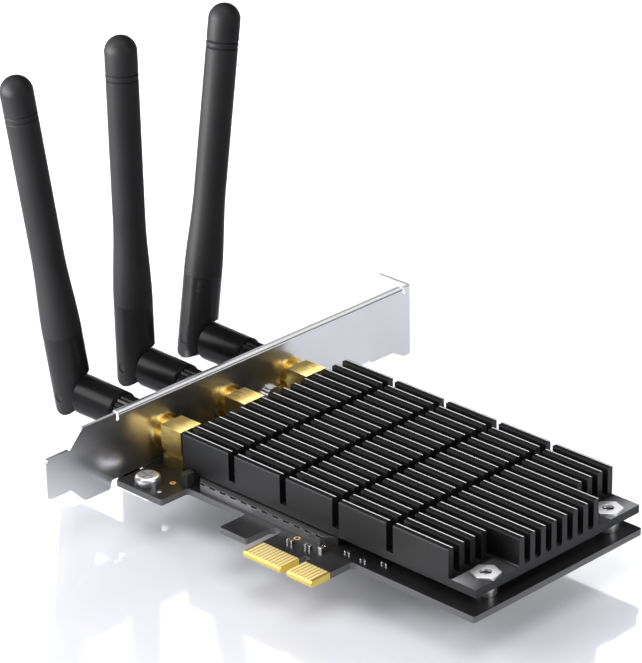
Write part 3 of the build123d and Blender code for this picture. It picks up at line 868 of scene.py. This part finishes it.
@dataclass
class SolderEnds:
    """Tinned caps on both ends of every small block of one node.

    Attributes:
        share: a cap's length as a share of its block's.
        skin: how far a cap stands out.
        ease, segments: width of the round on its edges and the strips that make it.
        passes: rounds of joining the corners of a block.
    """

    node: str
    material: bpy.types.Material
    share: float = 0.24
    skin: float = 0.02 * MM
    ease: float = 0.05 * MM
    segments: int = 2
    passes: int = 12

    def blocks(self) -> tuple[np.ndarray, np.ndarray]:
        """Find the node's separate blocks.

        Each corner starts with its own number. In each pass, both ends of an edge take the lower of
        their two numbers, until a block has one number throughout.

        Returns:
            The low and the high corner of every block.
        """
        mesh = merged_mesh(self.node)
        points = np.empty(len(mesh.vertices) * 3)
        mesh.vertices.foreach_get("co", points)
        points = points.reshape(-1, 3)
        ends = np.empty(len(mesh.edges) * 2, dtype=np.int64)
        mesh.edges.foreach_get("vertices", ends)
        ends = ends.reshape(-1, 2)
        bpy.data.meshes.remove(mesh)
        label = np.arange(len(points))
        for _ in range(self.passes):
            least = np.minimum(label[ends[:, 0]], label[ends[:, 1]])
            np.minimum.at(label, ends[:, 0], least)
            np.minimum.at(label, ends[:, 1], least)
        _, group = np.unique(label, return_inverse=True)
        low = np.full((group.max() + 1, 3), np.inf)
        high = np.full((group.max() + 1, 3), -np.inf)
        np.minimum.at(low, group, points)
        np.maximum.at(high, group, points)
        return low, high

    def build(self) -> Piece:
        """Make the caps of every block as one piece.

        A cap is a box as wide and high as its block, and as long as a share of it. It stands out by a
        thin skin on every side but the lower one. Its corners are the low corner plus the size times
        each corner of the unit cube.

        Returns:
            The piece with all the caps.
        """
        low, high = self.blocks()
        size = high - low
        axis = np.argmax(size[:, :2], axis=1)
        rows = np.arange(len(low))
        reach = size[rows, axis] * self.share
        first_high, second_low = high.copy(), low.copy()
        first_high[rows, axis] = low[rows, axis] + reach
        second_low[rows, axis] = high[rows, axis] - reach
        start = np.concatenate([low, second_low]) - (self.skin, self.skin, 0.0)
        stop = np.concatenate([first_high, high]) + self.skin
        unit = np.array([[x, y, z] for x in (0, 1) for y in (0, 1) for z in (0, 1)], dtype=float)
        points = (start[:, None] + unit[None] * (stop - start)[:, None]).reshape(-1, 3)
        quads = np.array([
            (0, 1, 3, 2), (4, 6, 7, 5), (0, 4, 5, 1), (2, 3, 7, 6), (0, 2, 6, 4), (1, 5, 7, 3),
        ])
        faces = (np.arange(len(start))[:, None, None] * len(unit) + quads[None]).reshape(-1, 4)
        mesh = bpy.data.meshes.new(f"{self.node}_ends_mesh")
        mesh.from_pydata(points.tolist(), [], faces.tolist())
        mesh.shade_smooth()
        piece = bpy.data.objects.new(f"{self.node}_ends", mesh)
        bevel = piece.modifiers.new("ease", "BEVEL")
        bevel.width = self.ease
        bevel.segments = self.segments
        bevel.harden_normals = True
        return finish_piece(piece, self.material, "root")


def direction(azimuth: float, elevation: float) -> Vector:
    """Unit vector from the card towards a camera or a light.

    Args:
        azimuth: degrees, 0 in front of the card (towards -y) and 90 on its +x side.
        elevation: degrees above the level.

    Returns:
        The vector: sine and cosine of the azimuth in the level plane, raised by the elevation.
    """
    turn = math.radians(azimuth)
    rise = math.radians(elevation)
    return Vector((math.sin(turn) * math.cos(rise), -math.cos(turn) * math.cos(rise), math.sin(rise)))


@dataclass
class PhotoCamera:
    """The camera, as fitted to the photo by the card's known sizes.

    Attributes:
        aim: a point near the card's middle.
        azimuth, elevation, roll: its direction and roll in degrees.
        distance: from the aim, along that direction.
        pan_right, pan_up: its shift across that direction.
        focal_pixels, image_height: focal length and height of the photo, both in its pixels.
        sensor: sensor size in millimetres.
        clip: nearest and farthest depth that it shows.
    """

    aim: tuple[float, float, float] = (-19.05 * MM, 33.8 * MM, 8.865 * MM)
    azimuth: float = 45.015
    elevation: float = 24.662
    roll: float = -1.016
    distance: float = 819.557 * MM
    pan_right: float = -1.717 * MM
    pan_up: float = 28.933 * MM
    focal_pixels: float = 3606.25
    image_height: float = 663.0
    sensor: float = 36.0
    clip: Span = (0.01, 20.0)

    def build(self) -> None:
        """Make the camera and make it the scene's own."""
        turn = math.radians(self.azimuth)
        tilt = math.radians(self.roll)
        back = direction(self.azimuth, self.elevation)
        level = Vector((math.cos(turn), math.sin(turn), 0.0))
        upright = back.cross(level)
        right = math.cos(tilt) * level + math.sin(tilt) * upright
        up = math.cos(tilt) * upright - math.sin(tilt) * level
        data = bpy.data.cameras.new("photo_camera")
        data.sensor_width = self.sensor
        data.lens = self.focal_pixels * self.sensor / self.image_height
        data.clip_start, data.clip_end = self.clip
        camera = bpy.data.objects.new("photo_camera", data)
        spot = Vector(self.aim) + back * self.distance + right * self.pan_right + up * self.pan_up
        camera.matrix_world = Matrix.Translation(spot) @ Matrix((right, up, back)).transposed().to_4x4()
        bpy.context.scene.collection.objects.link(camera)
        bpy.context.scene.camera = camera


@dataclass
class SoftBox:
    """A rectangular studio light that faces the card.

    Angles are in degrees, as for direction(), lengths in metres and power in watts.
    """

    name: str
    azimuth: float
    elevation: float
    distance: float
    width: float
    height: float
    power: float
    aim: tuple[float, float, float] = (-0.01, 0.03, 0.01)

    def build(self) -> bpy.types.Object:
        """Make the light.

        Returns:
            The light's object.
        """
        way = direction(self.azimuth, self.elevation)
        data = bpy.data.lights.new(self.name, "AREA")
        data.shape = "RECTANGLE"
        data.size = self.width
        data.size_y = self.height
        data.energy = self.power
        light = bpy.data.objects.new(self.name, data)
        turned = way.to_track_quat("Z", "Y").to_matrix().to_4x4()
        light.matrix_world = Matrix.Translation(Vector(self.aim) + way * self.distance) @ turned
        bpy.context.scene.collection.objects.link(light)
        return light


@dataclass
class Studio:
    """A pale glossy table, soft boxes and a plain surround.

    The surround's brightness follows the sine of the height above the level: horizon up to horizon_top,
    dim over dim_band and overhead from overhead_start, with even slopes between them.
    """

    floor_half: float = 3.0
    floor_tone: Colour = (0.57, 0.577, 0.612)
    floor_deep_share: float = 0.985
    floor_cloud: float = 2.0
    floor_rough: float = 0.07
    floor_specular: float = 0.25
    floor_drop: float = 8.2 * MM
    horizon: float = 0.9
    dim: float = 0.03
    overhead: float = 0.12
    horizon_top: float = 0.12
    dim_band: Span = (0.22, 0.6)
    overhead_start: float = 0.85

    def build(self, lowest: float, lit: dict[Reach, list[Piece]]) -> None:
        """Make the table, the lights and the surround.

        Args:
            lowest: height of the card's lowest point.
            lit: the pieces of each kind that a linked light can reach, without the table.
        """
        table = self.build_floor(lowest - self.floor_drop)
        self.build_surround()
        for box in self.boxes():
            box.build()
        for kind, box in self.panels():
            self.build_linked(box, [table] if kind is Reach.TABLE else lit[kind])
        view = bpy.context.scene.view_settings
        view.view_transform = "Standard"
        view.look = "None"

    def build_floor(self, height: float) -> Piece:
        """Make the table as one flat square.

        Args:
            height: its height.

        Returns:
            The table's object.
        """
        span = np.array([-self.floor_half, self.floor_half])
        x, y = np.meshgrid(span, span)
        points = np.stack([x.ravel(), y.ravel(), np.full(x.size, height)], axis=1)
        mesh = bpy.data.meshes.new("table_mesh")
        mesh.from_pydata(points.tolist(), [], [(0, 1, 3, 2)])
        floor = bpy.data.objects.new("table", mesh)
        bpy.context.scene.collection.objects.link(floor)
        desk = NodeDesk("table_white")
        desk.set(Roughness=self.floor_rough, Specular_IOR_Level=self.floor_specular)
        cloud = desk.noise(desk.place(), self.floor_cloud, detail=1.0)
        shade = desk.tint(cloud, darker(self.floor_tone, self.floor_deep_share), self.floor_tone)
        desk.link(shade, desk.shader.inputs["Base Color"])
        mesh.materials.append(desk.material)
        floor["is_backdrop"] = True
        return floor

    def build_linked(self, box: SoftBox, pieces: list[Piece]) -> None:
        """Add a light that reaches some pieces only.

        Args:
            box: the light.
            pieces: what it reaches.
        """
        reached = bpy.data.collections.new(f"lit_by_{box.name}")
        for piece in pieces:
            reached.objects.link(piece)
        box.build().light_linking.receiver_collection = reached

    def build_surround(self) -> None:
        """Make the world light by a ramp over the height of the view."""
        world = bpy.data.worlds.new("studio")
        world.use_nodes = True
        tree = world.node_tree
        tree.nodes.clear()
        output = tree.nodes.new("ShaderNodeOutputWorld")
        back = tree.nodes.new("ShaderNodeBackground")
        coords = tree.nodes.new("ShaderNodeTexCoord")
        split = tree.nodes.new("ShaderNodeSeparateXYZ")
        ramp = tree.nodes.new("ShaderNodeValToRGB")
        tree.links.new(coords.outputs["Generated"], split.inputs["Vector"])
        tree.links.new(split.outputs["Z"], ramp.inputs["Fac"])
        tree.links.new(ramp.outputs["Color"], back.inputs["Color"])
        tree.links.new(back.outputs["Background"], output.inputs["Surface"])
        stops = [
            (0.0, self.horizon),
            (self.horizon_top, self.horizon),
            (self.dim_band[0], self.dim),
            (self.dim_band[1], self.dim),
            (self.overhead_start, self.overhead),
        ]
        elements = ramp.color_ramp.elements
        while len(elements) < len(stops):
            elements.new(0.5)
        for element, (position, level) in zip(elements, stops):
            element.position = position
            element.color = (level, level, level, 1.0)
        bpy.context.scene.world = world

    def boxes(self) -> list[SoftBox]:
        """The soft boxes that light every piece.

        Returns:
            The lights, not yet built.
        """
        return [
            SoftBox("box_left", -42.0, 33.0, 0.9, 0.6, 0.5, 7.0),
            SoftBox("box_top", 60.0, 80.0, 0.9, 0.7, 0.7, 4.5),
            SoftBox("box_right", 98.0, 28.0, 0.9, 0.45, 0.35, 2.0),
        ]

    def panels(self) -> list[tuple[Reach, SoftBox]]:
        """The panels that light one kind of piece each.

        One light for all would wash out the dark plastic before the metal is bright.

        Returns:
            The kind that each panel lights, and the light, not yet built.
        """
        return [
            (Reach.TABLE, SoftBox("panel_table", -135.0, 25.0, 2.2, 2.0, 1.2, 50.0)),
            (Reach.TABLE, SoftBox("fill_left", -12.0, 7.0, 2.0, 0.8, 0.3, 75.0)),
            (Reach.TABLE, SoftBox("fill_right", 62.0, 26.0, 2.0, 0.6, 0.5, 9.0)),
            (Reach.METAL, SoftBox("panel_metal", -135.0, 27.0, 2.2, 4.5, 1.6, 10.0)),
            (Reach.JACKS, SoftBox("panel_gold", -135.0, 27.0, 2.2, 3.5, 1.6, 78.0)),
            (Reach.PLATE, SoftBox("panel_bend", 175.0, 48.0, 2.2, 2.5, 1.1, 7.0)),
            (Reach.CONTACTS, SoftBox("panel_contacts", -135.0, 50.0, 1.6, 1.5, 1.0, 11.0)),
            (Reach.NUTS, SoftBox("panel_nuts", -135.0, 56.0, 1.6, 1.5, 1.0, 16.0)),
            (Reach.JACKS, SoftBox("panel_jacks", -58.0, 5.0, 1.0, 1.3, 0.7, 38.0)),
            (Reach.ANTENNAS, SoftBox("panel_antennas", -27.0, 5.0, 1.0, 1.2, 0.5, 98.0)),
        ]


@dataclass
class CardBody:
    """The board, bracket, heat sink and everything fixed to them."""

    finishes: Finishes

    def build(self) -> dict[Reach, list[Piece]]:
        """Dress the fixed pieces. Each row gives a finish and the round of its edges in millimetres.

        Returns:
            The pieces of each kind that a linked light can reach.
        """
        paint = self.finishes
        rows = {
            "bracket": (paint.bracket, 0.12),
            "clinch_nut": (paint.zinc, 0.06),
            "pcb": (paint.board, 0.06),
            "edge_contacts_top": (paint.contact, 0.015),
            "edge_contacts_bottom": (paint.contact, 0.015),
            "heat_sink": (paint.sink, 0.3),
            "thermal_pad": (paint.pad, 0.05),
            "shield_can": (paint.shield, 0.06),
            "radio_chip": (paint.chip, 0.05),
            "front_end_chips": (paint.chip, 0.05),
            "crystal": (paint.tin, 0.1),
            "flash_chip": (paint.chip, 0.05),
            "regulator_chip": (paint.chip, 0.05),
            "power_inductor": (paint.chip, 0.15),
            "smd_capacitors": (paint.ceramic, 0.05),
            "smd_resistors": (paint.chip, 0.04),
            "band_filter": (paint.chip, 0.08),
            "standoffs": (paint.zinc, 0.08),
            "heat_sink_screws": (paint.zinc, 0.08),
            "hex_nuts": (paint.zinc, 0.08),
            "bracket_screw_1": (paint.zinc, 0.06),
            "bracket_screw_2": (paint.zinc, 0.06),
        }
        pieces = {
            node: EasedSolid(node, material, ease * MM).build()
            for node, (material, ease) in rows.items()
        }
        for node in ("smd_capacitors", "smd_resistors"):
            SolderEnds(node, paint.tin).build()
        # Left out of other pieces' light, because the gold's warm reflection tinted the front fin.
        contacts = pieces["edge_contacts_top"]
        contacts.visible_diffuse = False
        contacts.visible_glossy = False
        screws = [pieces["bracket_screw_1"], pieces["bracket_screw_2"]]
        return {
            Reach.PLATE: [pieces["bracket"]],
            Reach.METAL: [pieces["bracket"], pieces["hex_nuts"], *screws],
            Reach.NUTS: [pieces["hex_nuts"], pieces["clinch_nut"], *screws],
            Reach.CONTACTS: [contacts],
        }


@dataclass
class CoaxJack:
    """One gold jack with its washer, nut, insulator and contact."""

    number: int
    finishes: Finishes

    def build(self) -> list[Piece]:
        """Dress the jack. Each row gives a finish and the round of its edges in millimetres.

        Returns:
            The pieces that the jacks' own lights reach.
        """
        paint = self.finishes
        rows = {
            "jack_body": (paint.gold, 0.12),
            "jack_washer": (paint.gold, 0.05),
            "jack_nut": (paint.gold, 0.1),
            "jack_insulator": (paint.insulator, 0.05),
            "jack_contact": (paint.gold, 0.05),
        }
        pieces = {
            stem: EasedSolid(f"{stem}_{self.number}", material, ease * MM).build()
            for stem, (material, ease) in rows.items()
        }
        return [pieces["jack_body"], pieces["jack_washer"]]


@dataclass
class StickAntenna:
    """One antenna: its knurled collar, base, pin, knuckle, sleeve and inner element."""

    number: int
    finishes: Finishes

    def build(self) -> list[Piece]:
        """Dress the antenna. Each row gives a finish, the round of its edges in millimetres and a body.

        Returns:
            The pieces that the antennas' own light reaches.
        """
        paint = self.finishes
        base = f"antenna_{self.number}_base"
        blade = f"antenna_{self.number}_blade"
        rows = {
            "antenna_collar": (paint.collar_black, 0.08, "root"),
            "antenna_base": (paint.hinge_plastic, 0.25, base),
            "hinge_pin": (paint.hinge_plastic, 0.1, base),
            "antenna_knuckle": (paint.hinge_plastic, 0.2, blade),
            "antenna_sleeve": (paint.sleeve_plastic, 0.1, blade),
            "antenna_element": (paint.brass, 0.05, blade),
        }
        pieces = {
            stem: EasedSolid(f"{stem}_{self.number}", material, ease * MM, body).build()
            for stem, (material, ease, body) in rows.items()
        }
        return [pieces["antenna_knuckle"], pieces["antenna_sleeve"], pieces["hinge_pin"]]


def main() -> None:
    """Build the camera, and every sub-assembly and the studio in order."""
    logging.basicConfig(level=logging.INFO, format="%(name)s %(message)s")
    cad_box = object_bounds()
    PhotoCamera().build()
    finishes = Finishes()
    lit = CardBody(finishes).build()
    lit[Reach.JACKS], lit[Reach.ANTENNAS] = [], []
    for number in ANTENNAS:
        lit[Reach.JACKS] += CoaxJack(number, finishes).build()
        lit[Reach.ANTENNAS] += StickAntenna(number, finishes).build()
    Studio().build(float(cad_box[0][2]), lit)


if __name__ == "__main__":
    main()
